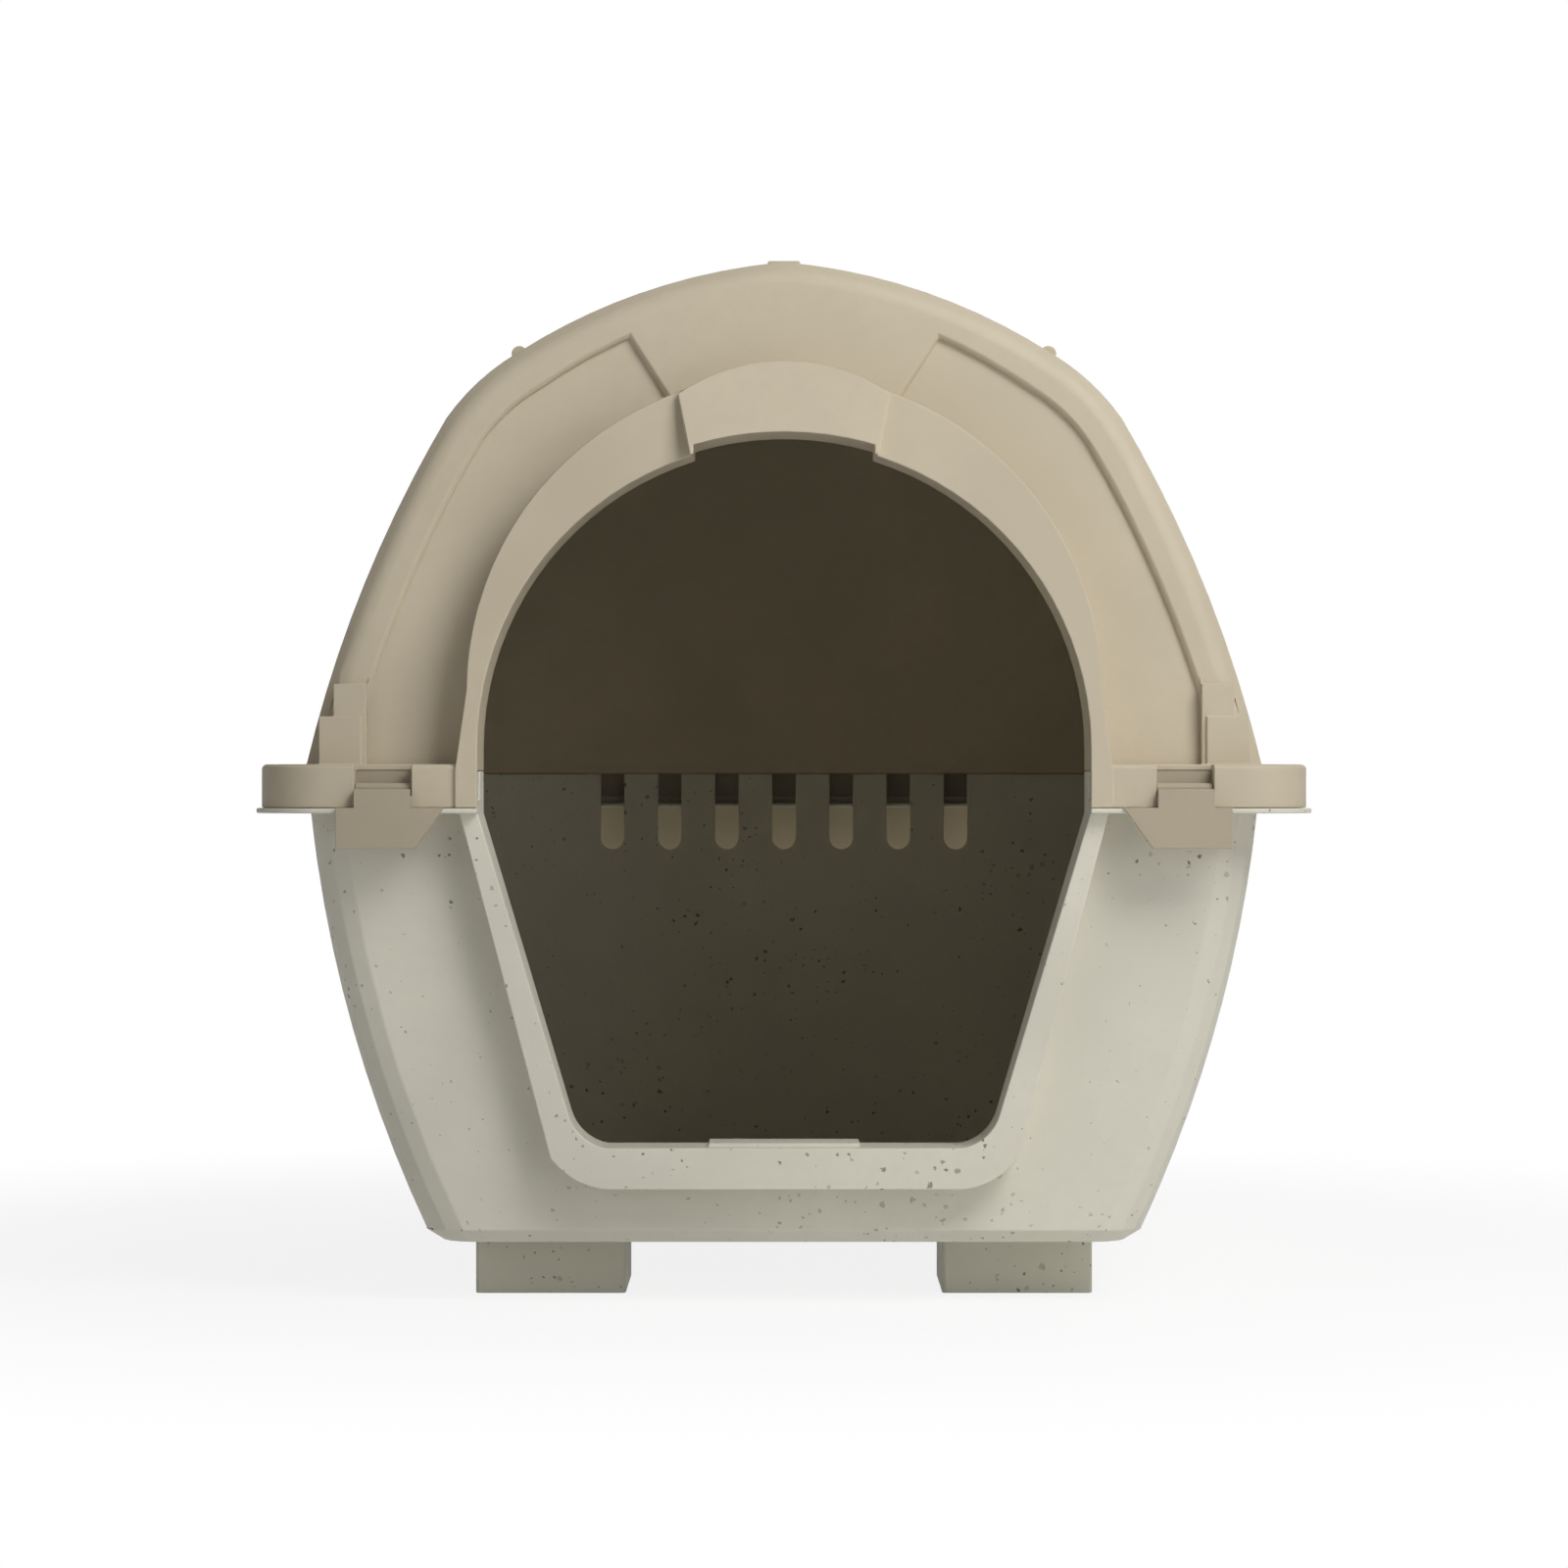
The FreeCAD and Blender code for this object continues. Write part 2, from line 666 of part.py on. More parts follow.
def on_band_top(edge, shape):
    """Whether an edge runs along the top of the band, on its outside."""
    box = edge.BoundBox
    level = box.ZLength < TOUCH and abs(box.ZMin - value(BAND_TOP)) < TOUCH
    spot = middle_of(edge)
    aside = abs(spot.x) - value("seam_half_width + band_reach")
    ahead = abs(spot.y) - value("seam_half_length + band_reach")
    corner = -value("band_corner_radius") / 2
    return level and (abs(max(aside, ahead)) < TOUCH or 0 > min(aside, ahead) > corner)


def tub_section(inset="0", floor="foot_height", top=TUB_TOP):
    """The bowed section of the tub, drawn in by an inset."""
    right = [
        (f"tub_bottom_half_width - {inset}", floor),
        f"tub_side_radius - {inset}",
        (f"seam_half_width - {inset}", top),
    ]
    return right + mirror_outline(right)


def tub_rim_outline(inset="0"):
    """The outer edge of the raised rim round the foot of the doorway."""
    right = [
        (f"rim_sill_half_width - {inset} * {SILL_SHARE}", f"rim_sill_height + {inset}"),
        f"rim_corner_radius - {inset}",
        (f"rim_foot_half_width - {inset}", f"rim_foot_height + {inset} * {JAMB_SHARE}"),
        (f"rim_half_width - {inset}", f"{LIP_TOP} - {inset}"),
    ]
    return right + mirror_outline(right)


def tub_door_outline(grown="0"):
    """The foot of the doorway, from above the tub's top down to the sill, or one a bit larger."""
    right = [
        (f"sill_half_width + {grown} * {SILL_SHARE}", f"sill_height - {grown}"),
        f"sill_corner_radius + {grown}",
        (f"door_foot_half_width + {grown}", f"door_foot_height - {grown} * {JAMB_SHARE}"),
        (f"door_half_width + {grown}", FLANGE_FOOT),
        (f"door_half_width + {grown}", f"{TUB_TOP} + {OVERRUN}"),
    ]
    return right + mirror_outline(right)


def tub_rim(body, inset="0"):
    """The raised rim on the tub or, inset, on its cavity."""
    rim = new_sketch(body, f"{body.Name}Rim", "XZ_Plane", FRAME_FOOT)
    draw_outline(rim, tub_rim_outline(inset))
    add(body, "Pad", f"{body.Name}RimPad", rim, Length=END_LENGTH)
    reach = f"(seam_half_length + {SKIRT_BACK} - fit_gap - {inset})"
    lean_cut(body, f"{body.Name}RimFace", reach, ("front",), BELOW, TUB_HIGH, -1)


def tub_block(body, inset, floor, top):
    """The tub's plain form, or its cavity's: a bowed section, leaning ends and round corners."""
    name = body.Name
    section = new_sketch(body, f"{name}Section", "XZ_Plane")
    draw_outline(section, tub_section(inset, floor, top))
    add(body, "Pad", f"{name}Block", section, Length=BLOCK_LENGTH, both_ways=True)
    reach = f"(seam_half_length - {inset})"
    lean_cut(body, f"{name}Ends", reach, ("front", "rear"), BELOW, TUB_HIGH, -1)


def bevel_bottom(body, size, floor):
    top = value(floor) + TOUCH
    bevel_edges(body, f"{body.Name}Bottom", size, lambda edge, _: edge.BoundBox.ZMax < top)


def at_a_corner(edge, shape):
    """Whether an edge climbs from the bottom to the top of the tub."""
    return edge.BoundBox.ZLength > value("seam_height - foot_height") / 2


def tub_cavity():
    """The room inside the tub, which also fills its raised rim but not the doorway's jamb."""
    body = new_body("TubCavity")
    floor = "foot_height + wall_thick"
    tub_block(body, "wall_thick", floor, "seam_height")
    bevel_edges(body, "TubCavityCorners", "(tub_corner_radius - wall_thick) * bevel_share", at_a_corner)
    bevel_bottom(body, "tub_bottom_bevel * bevel_share", floor)
    tub_rim(body, "wall_thick")
    cut_doorway(body, "TubJamb", tub_door_outline("wall_thick"), "seam_half_length - jamb_inset")
    return body


def cut_slots(body):
    """The row of air slots in the rear wall, round at the foot and open at the top."""
    slot = new_sketch(body, "SlotOutline", "XZ_Plane", f"-{FRAME_FOOT}")
    middle = "-(slot_pitch * (slot_count - 1) / 2)"
    half = "slot_width / 2"
    foot = f"{SLOT_FOOT} + {half}"
    outline = [
        (middle, SLOT_FOOT),
        half,
        (f"{middle} + {half}", foot),
        (f"{middle} + {half}", f"{TUB_TOP} + {OVERRUN}"),
        (f"{middle} - {half}", f"{TUB_TOP} + {OVERRUN}"),
        (f"{middle} - {half}", foot),
        half,
    ]
    draw_outline(slot, outline)
    first = cut_check(body, "FirstSlot", slot, Length=f"seam_half_length - {FRAME_FOOT} + slot_run_out")
    row = body.newObject("PartDesign::LinearPattern", "SlotRow")
    row.Originals = [first]
    row.Direction = (slot, ["H_Axis"])
    bind(row, Length="slot_pitch * (slot_count - 1)", Occurrences="slot_count")
    body.Tip = row
    doc.recompute()


def foot_spots():
    """Each foot's name and the side and end of the house that it stands under."""
    for end, along in (("front", -1), ("rear", 1)):
        for hand, across in (("left", -1), ("right", 1)):
            yield f"foot_{end}_{hand}", across, along


def foot_middle(across, along):
    return f"{across} * (foot_inset + foot_width / 2)", f"{along} * foot_place"


def lower_shell():
    """The tub with the foot of the doorway, the flange, the air slots and the screw holes."""
    body = new_body("lower_shell")
    tub_block(body, "0", "foot_height", TUB_TOP)
    ease_edges(body, "TubCorners", "tub_corner_radius", at_a_corner, at_a_corner)
    bevel_bottom(body, "tub_bottom_bevel", "foot_height")
    tub_rim(body)
    hollow_out(body, tub_cavity())
    ring_pad(body, "Flange", FLANGE_FOOT, "flange_thick", "flange_reach", "-wall_thick",
             "band_corner_radius + flange_reach - band_reach", "tub_corner_radius")
    lip_reach = f"({SKIRT_BACK} - fit_gap)"
    ring_pad(body, "Lip", f"{FLANGE_TOP} - {ROOT}", f"lip_rise + {ROOT}",
             lip_reach, f"({lip_reach} - lip_thick)",
             "(band_corner_radius - band_skin - fit_gap)",
             "(band_corner_radius - band_skin - fit_gap - lip_thick)")
    cut_doorway(body, "TubDoorway", tub_door_outline(), f"seam_half_length - jamb_inset - {OVERRUN}")
    rest = new_sketch(body, "SillRest", "XZ_Plane", "seam_half_length - jamb_inset")
    low, high = f"sill_height - {ROOT}", "sill_height + sill_rest_rise"
    draw_outline(rest, box_outline("-sill_rest_half_width", low, "sill_rest_half_width", high))
    add(body, "Pad", "SillRestPad", rest, Length="jamb_inset")
    cut_slots(body)
    holes = new_sketch(body, "ScrewHoles", "XY_Plane", f"foot_height - {OVERRUN}")
    for _, across, along in foot_spots():
        draw_circle(holes, *foot_middle(across, along), "screw_radius + pin_fit")
    cut_check(body, "ScrewHoleCut", holes, Length=f"wall_thick + 2 * {OVERRUN}", reverse=True)
    return body


def latch(label, along, across):
    """One latch about its own pin: a barrel with two trunnions, a neck and a plate to pull."""
    body = new_body(label)
    barrel = new_sketch(body, f"{label}_barrel", "YZ_Plane")
    draw_circle(barrel, "0", "0", "barrel_radius")
    length = "2 * (notch_half_width - fit_gap)"
    add(body, "Pad", f"{label}_barrel_pad", barrel, Length=length, both_ways=True)
    pin = new_sketch(body, f"{label}_pin", "YZ_Plane")
    draw_circle(pin, "0", "0", "pin_radius")
    length = "2 * (notch_half_width + ear_thick)"
    add(body, "Pad", f"{label}_pin_pad", pin, Length=length, both_ways=True)
    inner = "(flange_reach + fit_gap - pin_reach)"
    outer = f"({inner} + latch_thick)"
    neck_low = "(pin_drop - notch_depth + fit_gap)"
    neck_top = f"{neck_low} + neck_height"
    neck = new_sketch(body, f"{label}_neck", "YZ_Plane")
    draw_outline(neck, box_outline(f"-{outer}", neck_low, "-barrel_radius / 2", neck_top))
    length = "2 * (notch_half_width - 2 * fit_gap)"
    add(body, "Pad", f"{label}_neck_pad", neck, Length=length, both_ways=True)
    plate = new_sketch(body, f"{label}_plate", "XZ_Plane", inner)
    side = "notch_half_width - fit_gap"
    shoulder = "-latch_shoulder_drop"
    foot = "-latch_drop"
    outline = [
        ("-latch_tip_half_width", foot),
        ("latch_outer_half_width", foot),
        ("latch_outer_half_width", shoulder),
        (side, shoulder),
        (side, neck_top),
        (f"-({side})", neck_top),
        (f"-({side})", shoulder),
        ("-latch_inner_half_width", shoulder),
    ]
    draw_outline(plate, outline if along * across < 0 else mirror_outline(outline))
    add(body, "Pad", f"{label}_plate_pad", plate, Length="latch_thick")
    turn = FreeCAD.Rotation(FreeCAD.Vector(0, 0, 1), 0 if along < 0 else 180)
    body.Placement = FreeCAD.Placement(FreeCAD.Vector(0, 0, 0), turn)
    place(body, f"{across} * latch_place", facing(along, "pin_reach"), PIN_HEIGHT)
    return body


def place(body, across, along, up):
    """Put a piece where three sums of sizes say, as it was turned."""
    for axis, words in (("x", across), ("y", along), ("z", up)):
        body.setExpression(f"Placement.Base.{axis}", cells(words))


def foot(label, across, along):
    """A hollow foot about the middle of its sole, with a boss for the screw."""
    body = new_body(label)
    half_width, half_length = "foot_width / 2", "foot_length / 2"
    block = new_sketch(body, f"{label}_plan", "XY_Plane")
    draw_outline(block, box_outline(f"-({half_width})", f"-({half_length})", half_width, half_length))
    add(body, "Pad", f"{label}_block", block, Length="foot_height")
    upright = value("foot_height - 1")
    bevel_edges(body, f"{label}_corners", "foot_bevel",
                lambda edge, _: edge.BoundBox.ZLength > upright)
    room = new_sketch(body, f"{label}_room", "XY_Plane", "foot_wall")
    across_in, along_in = f"{half_width} - foot_wall", f"{half_length} - foot_wall"
    draw_outline(room, box_outline(f"-({across_in})", f"-({along_in})", across_in, along_in))
    draw_circle(room, "0", "0", "screw_boss_radius")
    cut_check(body, f"{label}_room_cut", room, Length="foot_height", reverse=True)
    hole = new_sketch(body, f"{label}_hole", "XY_Plane",
                      "foot_height + wall_thick - screw_length - screw_clearance")
    draw_circle(hole, "0", "0", "screw_radius + pin_fit")
    cut_check(body, f"{label}_hole_cut", hole, Length="screw_length", reverse=True)
    place(body, *foot_middle(across, along), "0")
    return body


def foot_screws():
    """The four screws that go down through the tub's floor into the feet, as one group."""
    group = doc.addObject("Part::Compound", "foot_screws")
    group.Label = "foot_screws"
    screws = []
    for name, across, along in foot_spots():
        head = doc.addObject("Part::Cylinder", f"{name}_screw_head")
        bind(head, Radius="screw_head_radius", Height="screw_head_thick")
        shank = doc.addObject("Part::Cylinder", f"{name}_screw_shank")
        bind(shank, Radius="screw_radius", Height=f"screw_length + {ROOT}")
        place(head, *foot_middle(across, along), "foot_height + wall_thick")
        place(shank, *foot_middle(across, along), "foot_height + wall_thick - screw_length")
        screw = doc.addObject("Part::Fuse", f"{name}_screw")
        screw.Base, screw.Tool = head, shank
        screws.append(screw)
    group.Links = screws
    return group


def build():
    """Every piece of the house."""
    pieces = [upper_shell(), lower_shell(), foot_screws()]
    pieces += [foot(*spot) for spot in foot_spots()]
    pieces += [latch(*spot) for spot in latch_spots()]
    return pieces


def check(pieces):
    """Stop before anything is written if the document or a piece is unsound."""
    doc.recompute()
    for thing in doc.Objects:
        if "Invalid" in thing.State or "Error" in thing.State:
            raise RuntimeError(f"{thing.Label} is {thing.State}")
    for piece in pieces:
        if piece.Shape.isNull() or not piece.Shape.isValid() or not piece.Shape.Solids:
            raise RuntimeError(f"{piece.Label} is not a sound solid")


def write(pieces):
    os.makedirs("parts", exist_ok=True)
    for piece in pieces:
        piece.Shape.exportStep(f"parts/{piece.Label}.step")


PIECES = build()
check(PIECES)
write(PIECES)
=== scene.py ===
"""Looks of the dog house: plastic shells, notch walls, plated screws, a pale floor and soft light.

Metres. X runs to the right, the doorway faces -Y and Z is up. The origin lies on the ground under
the middle of the house.
"""

import json
import math

import bmesh
import bpy
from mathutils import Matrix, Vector


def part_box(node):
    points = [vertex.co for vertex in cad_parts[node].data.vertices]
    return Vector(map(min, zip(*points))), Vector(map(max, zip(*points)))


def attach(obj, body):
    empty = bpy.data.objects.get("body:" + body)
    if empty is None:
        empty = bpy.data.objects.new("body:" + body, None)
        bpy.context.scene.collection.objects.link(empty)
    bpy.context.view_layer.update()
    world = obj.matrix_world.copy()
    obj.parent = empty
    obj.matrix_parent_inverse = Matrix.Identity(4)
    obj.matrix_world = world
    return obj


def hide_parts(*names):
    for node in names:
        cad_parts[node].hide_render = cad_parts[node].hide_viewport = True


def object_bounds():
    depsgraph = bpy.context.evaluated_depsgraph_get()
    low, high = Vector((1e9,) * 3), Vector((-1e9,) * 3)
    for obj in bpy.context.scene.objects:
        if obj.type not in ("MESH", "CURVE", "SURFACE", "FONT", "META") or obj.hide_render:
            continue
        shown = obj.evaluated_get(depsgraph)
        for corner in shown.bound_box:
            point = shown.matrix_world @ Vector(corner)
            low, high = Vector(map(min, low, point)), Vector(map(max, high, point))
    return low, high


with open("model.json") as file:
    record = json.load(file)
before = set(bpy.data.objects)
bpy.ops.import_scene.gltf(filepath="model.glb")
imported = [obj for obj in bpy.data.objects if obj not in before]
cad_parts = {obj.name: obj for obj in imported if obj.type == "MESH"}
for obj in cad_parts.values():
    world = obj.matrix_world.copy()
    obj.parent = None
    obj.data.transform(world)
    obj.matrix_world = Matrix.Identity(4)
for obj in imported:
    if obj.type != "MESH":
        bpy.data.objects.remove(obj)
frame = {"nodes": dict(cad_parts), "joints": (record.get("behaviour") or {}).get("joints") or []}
CAD_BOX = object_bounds()

bl_info = {
    "name": "Dog House Looks",
    "version": (1, 0, 0),
    "blender": (4, 5, 0),
    "location": "3D View > Sidebar > Dog House",
    "description": "Finishes, floor, light and camera for a plastic dog house",
    "category": "Object",
}

LOW, HIGH = CAD_BOX
ROOF_NODES = ["upper_shell"]
TUB_NODES = ["lower_shell"]
LATCH_NODES = sorted(name for name in frame["nodes"] if name.startswith("latch_"))
FOOT_NODES = sorted(
    name for name in frame["nodes"] if name.startswith("foot_") and name != "foot_screws"
)
# the middle of each latch's pin
PINS = {joint["child"]: joint["pos_m"] for joint in frame["joints"] if joint["type"] == "hinge"}

# vertices nearer than this are joined
JOIN_REACH = 0.00002
# turns between faces, in degrees: up to the first they are flat, up to the second they are facets
# of a round, up to the third they are the flats beside an eased edge, and beyond it sharp
FLAT_TURN = 0.8
FACET_TURN = 19.0
SHARP_TURN = 35.0
# faces across a rounded edge
ROUNDING_FACES = 3
# the tub's bevel is narrow, so its flats are rounded less than the roof's
TUB_FLAT_SHARE = 0.45
# the latches are small, so their edges are rounded less than the shells'
LATCH_EDGE_SHARE = 0.5

# wall behind a latch's pin: how far behind and above the pin it lies, the radius and the faces of
# its foot's curl, its thickness and half its width
POCKET_BACK = 0.0105
POCKET_RISE = 0.011
POCKET_CURL = 0.0033
POCKET_CURL_FACES = 6
POCKET_THICK = 0.0015
POCKET_HALF_WIDTH = 0.0225

# pan-head screw: a domed head over a short upright side
HEAD_RADIUS = 0.006
HEAD_HEIGHT = 0.0025
HEAD_SIDE = 0.0008
# its thread, with the rows of points to each turn, and how thin and how many turns long the tip is
SCREW_RADIUS = 0.0025
THREAD_DEPTH = 0.0006
THREAD_PITCH = 0.0018
THREAD_ROWS = 6
TIP_SHARE = 0.15
TIP_TURNS = 2
# its cross recess, with the thickness over which the sides of the arms slope
RECESS_REACH = 0.0034
RECESS_HALF_WIDTH = 0.0008
RECESS_WALL = 0.0003
RECESS_DEPTH = 0.0018
# points round the screw, and rows of points over the dome
SCREW_SIDES = 96
DOME_ROWS = 20

# spans of a noise, out of 0 to 1, over which one look turns into another
WIDE_SPAN = (0.2, 0.8)
MIDDLE_SPAN = (0.3, 0.7)
MOTTLE_SPAN = (0.35, 0.75)
DRIFT_SPAN = (0.38, 0.62)
# sizes of the flow clouds and the mottling in the plastics, and of the drifts that flecks gather in
CLOUD_SIZE = 0.16
MOTTLE_SIZE = 0.012
DRIFT_SIZE = 0.13
# light of the dark and the pale clouds beside the plastic's own, and how far mottling goes to dark
DARK_SHARE = 0.93
PALE_SHARE = 1.04
MOTTLE_STRENGTH = (0.0, 0.35)
PLASTIC_ROUGHNESS = (0.48, 0.62)
PLASTIC_IOR = 1.49
PLASTIC_SPECULAR = 0.3
# each layer of flecks has this share of the largest flecks' size and spacing
FLECK_LAYERS = (1.0, 0.65)
# how fast and how far a fleck's outline wobbles, against its size
WOBBLE_RATE = 1.6
WOBBLE_REACH = 1.3
# share of the flecks' places that stay bare
BARE_SHARE = 0.1
# size of the flecks outside the drifts and inside them
DRIFT_SHARES = (0.6, 1.15)
# how strongly the faintest and the darkest fleck show
FLECK_STRENGTHS = (0.3, 0.8)
# how wide a fleck's soft outline is, against the spacing
FLECK_SOFTNESS = 0.04
# brushed grain of the zinc: its size, how much finer it is upwards, its depth and its dark lines
BRUSH_SIZE = 0.0015
BRUSH_SQUEEZE = 12.0
BRUSH_DEPTH = 0.00002
BRUSH_DARK_SHARE = 0.8
ZINC_ROUGHNESS = (0.25, 0.42)

WHITE = (1.0, 1.0, 1.0, 1.0)
# faces of the bend between floor and backdrop
COVE_FACES = 24
# broad patches in the floor's tone
FLOOR_PATCH_SIZE = 0.9
FLOOR_PATCH_COLOUR = (0.9, 0.9, 0.9, 1.0)
# how far from the middle the floor starts and ends turning white, and how white it looks at each
WHITE_REACH = (0.42, 1.1)
WHITE_SHARE = (0.86, 1.0)
# the side of each square lamp, and its place
LAMPS = {
    "key": (1.0, (0.95, -1.5, 1.7)),
    "fill": (1.2, (1.4, -2.3, 0.5)),
    "left": (1.2, (-1.8, -2.2, 1.0)),
    "rear": (1.2, (0.5, 2.2, 0.7)),
}
# width of the photograph in pixels, and of one pixel in the plane of the house's front
PHOTO_SIDE = 1600
PIXEL_SIZE = 0.000615
# width of the camera's sensor in millimetres
SENSOR_WIDTH = 36.0


def colour_prop(name, description, default):
    """A colour that the sidebar shows, written as it looks on a screen."""
    return bpy.props.FloatVectorProperty(
        name=name,
        description=description,
        default=default,
        subtype="COLOR_GAMMA",
        size=3,
        min=0,
        max=1,
    )


def length_prop(name, description, default):
    """A length that the sidebar shows."""
    return bpy.props.FloatProperty(
        name=name,
        description=description,
        default=default,
        min=0,
        subtype="DISTANCE",
        unit="LENGTH",
    )


def power_prop(name, description, default):
    """A lamp's power that the sidebar shows."""
    return bpy.props.FloatProperty(
        name=name, description=description, default=default, min=0, subtype="POWER", unit="POWER"
    )


class DogHouseFinish(bpy.types.PropertyGroup):
    """Colours and grain of the house's materials, and the rounding of its edges."""

    roof_colour: colour_prop("Roof", "Colour of the roof's plastic", (0.785, 0.74, 0.65))
    # this colour also paints shade on the notch walls, which are part of the roof's moulding
    latch_and_notch_shade_colour: colour_prop("Latches", "Colour of the latches' plastic", (0.70, 0.655, 0.57))
    tub_colour: colour_prop("Tub", "Colour of the tub's plastic", (0.865, 0.85, 0.79))
    foot_colour: colour_prop("Feet", "Colour of the feet", (0.86, 0.85, 0.78))
    fleck_colour: colour_prop("Flecks", "Colour of the regrind flecks", (0.34, 0.31, 0.29))
    zinc_colour: colour_prop("Zinc", "Colour of the plated screws", (0.76, 0.77, 0.78))
    grain_size: length_prop("Grain", "Size of the moulded grain", 0.0012)
    grain_depth: length_prop("Grain depth", "How deep the moulded grain is", 0.00004)
    fleck_size: length_prop("Fleck size", "Size of the largest regrind flecks", 0.0038)
    fleck_spacing: length_prop("Fleck spacing", "How far apart the flecks lie", 0.0095)
    edge_width: length_prop("Edge", "Width of the rounding on sharp edges", 0.0009)
    flat_width: length_prop("Flat", "Width of the rounding between flats", 0.0025)


class DogHouseStage(bpy.types.PropertyGroup):
    """The floor, the lamps and the camera."""

    floor_colour: colour_prop("Floor", "Colour of the floor and backdrop", (0.93, 0.93, 0.93))
    floor_reach: length_prop("Floor reach", "How far the floor goes to each side", 9.0)
    cove_radius: length_prop("Cove", "Radius of the bend between floor and backdrop", 2.5)
    camera_distance: length_prop("Camera distance", "From the camera to the house's front", 3.0)
    camera_height: length_prop("Camera height", "Height of the camera over the floor", 0.332)
    key_power: power_prop("Key", "Power of the large lamp over the house", 26.5)
    fill_power: power_prop("Fill", "Power of the low lamp beside the camera", 8)
    left_power: power_prop("Left", "Power of the lamp on the left", 5.2)
    rear_power: power_prop("Rear", "Power of the lamp behind the house", 20)
    sky_strength: bpy.props.FloatProperty(
        name="Sky", description="Strength of the light from all round", default=0.13, min=0
    )


def linear(colour):
    """A screen colour as the light that it stands for, with full opacity."""
    channels = [c / 12.92 if c <= 0.04045 else ((c + 0.055) / 1.055) ** 2.4 for c in colour]
    return (*channels, 1.0)


def shade(colour, share):
    """A colour with this share of its light, or white where that is more than white."""
    return tuple(min(1.0, c * share) for c in colour[:3]) + (1.0,)


def feed(tree, socket, value):
    """Link an input to an output, or set it where the value is a plain one."""
    if isinstance(value, bpy.types.NodeSocket):
        tree.links.new(value, socket)
    else:
        socket.default_value = value


class Nodes:
    """A material's node tree, built up a node at a time."""

    def __init__(self, name):
        self.material = bpy.data.materials.new(name)
        self.material.use_nodes = True
        self.tree = self.material.node_tree
        self.tree.nodes.clear()
        self.place = self.add("ShaderNodeTexCoord").outputs["Object"]

    def add(self, kind, inputs=(), **settings):
        """A new node with its settings and inputs."""
        node = self.tree.nodes.new(kind)
        for key, value in settings.items():
            setattr(node, key, value)
        for key, value in dict(inputs).items():
            feed(self.tree, node.inputs[key], value)
        return node

    def noise(self, size, detail=2, roughness=0.5):
        """Smooth noise from 0 to 1 with blobs of about that size."""
        inputs = {
            "Vector": self.place,
            "Scale": 1 / size,
            "Detail": detail,
            "Roughness": roughness,
        }
        return self.add("ShaderNodeTexNoise", inputs).outputs["Fac"]

    def ramp(self, value, span, result=(0.0, 1.0)):
        """A value mapped smoothly from a span onto the result's, and held at its ends."""
        inputs = {
            "Value": value,
            "From Min": span[0],
            "From Max": span[1],
            "To Min": result[0],
            "To Max": result[1],
        }
        node = self.add("ShaderNodeMapRange", inputs, interpolation_type="SMOOTHSTEP")
        return node.outputs["Result"]

    def maths(self, operation, first, second):
        """What an operation makes of two numbers."""
        return self.add("ShaderNodeMath", {0: first, 1: second}, operation=operation).outputs[0]

    def blend(self, factor, first, second):
        """The first colour where the factor is 0, turning into the second where it is 1."""
        # the Mix node's sockets for colours share their names with others, so they go by number
        inputs = {0: factor, 6: first, 7: second}
        return self.add("ShaderNodeMix", inputs, data_type="RGBA").outputs[2]

    def bump(self, height, depth):
        """Normals for a height from 0 to 1 that stands this deep."""
        inputs = {"Height": height, "Distance": depth, "Strength": 1.0}
        return self.add("ShaderNodeBump", inputs).outputs["Normal"]

    def finish(self, shader):
        """The material, with the shader on its surface."""
        self.add("ShaderNodeOutputMaterial", {"Surface": shader.outputs[0]})
        return self.material


def flecks_mask(nodes, size, spacing):
    """How strongly the ragged flecks of reground plastic show, which gather in drifts."""
    wobble = nodes.add(
        "ShaderNodeTexNoise", {"Vector": nodes.place, "Scale": WOBBLE_RATE / size}
    )
    shift = nodes.add(
        "ShaderNodeVectorMath",
        {0: wobble.outputs["Color"], "Scale": size * WOBBLE_REACH},
        operation="SCALE",
    )
    spot = nodes.add(
        "ShaderNodeVectorMath", {0: nodes.place, 1: shift.outputs["Vector"]}, operation="ADD"
    )
    cells = nodes.add(
        "ShaderNodeTexVoronoi",
        {"Vector": spot.outputs["Vector"], "Scale": 1 / spacing},
        feature="F1",
    )
    chances = nodes.add("ShaderNodeSeparateColor", {"Color": cells.outputs["Color"]}).outputs
    drift = nodes.ramp(nodes.noise(DRIFT_SIZE), DRIFT_SPAN, DRIFT_SHARES)
    largest = nodes.ramp(chances["Red"], (BARE_SHARE, 1.0), (0.0, size / spacing / 2))
    radius = nodes.maths("MULTIPLY", largest, drift)
    inside = nodes.maths("SUBTRACT", radius, cells.outputs["Distance"])
    strength = nodes.ramp(chances["Green"], (0.0, 1.0), FLECK_STRENGTHS)
    return nodes.maths("MULTIPLY", nodes.ramp(inside, (0.0, FLECK_SOFTNESS)), strength)


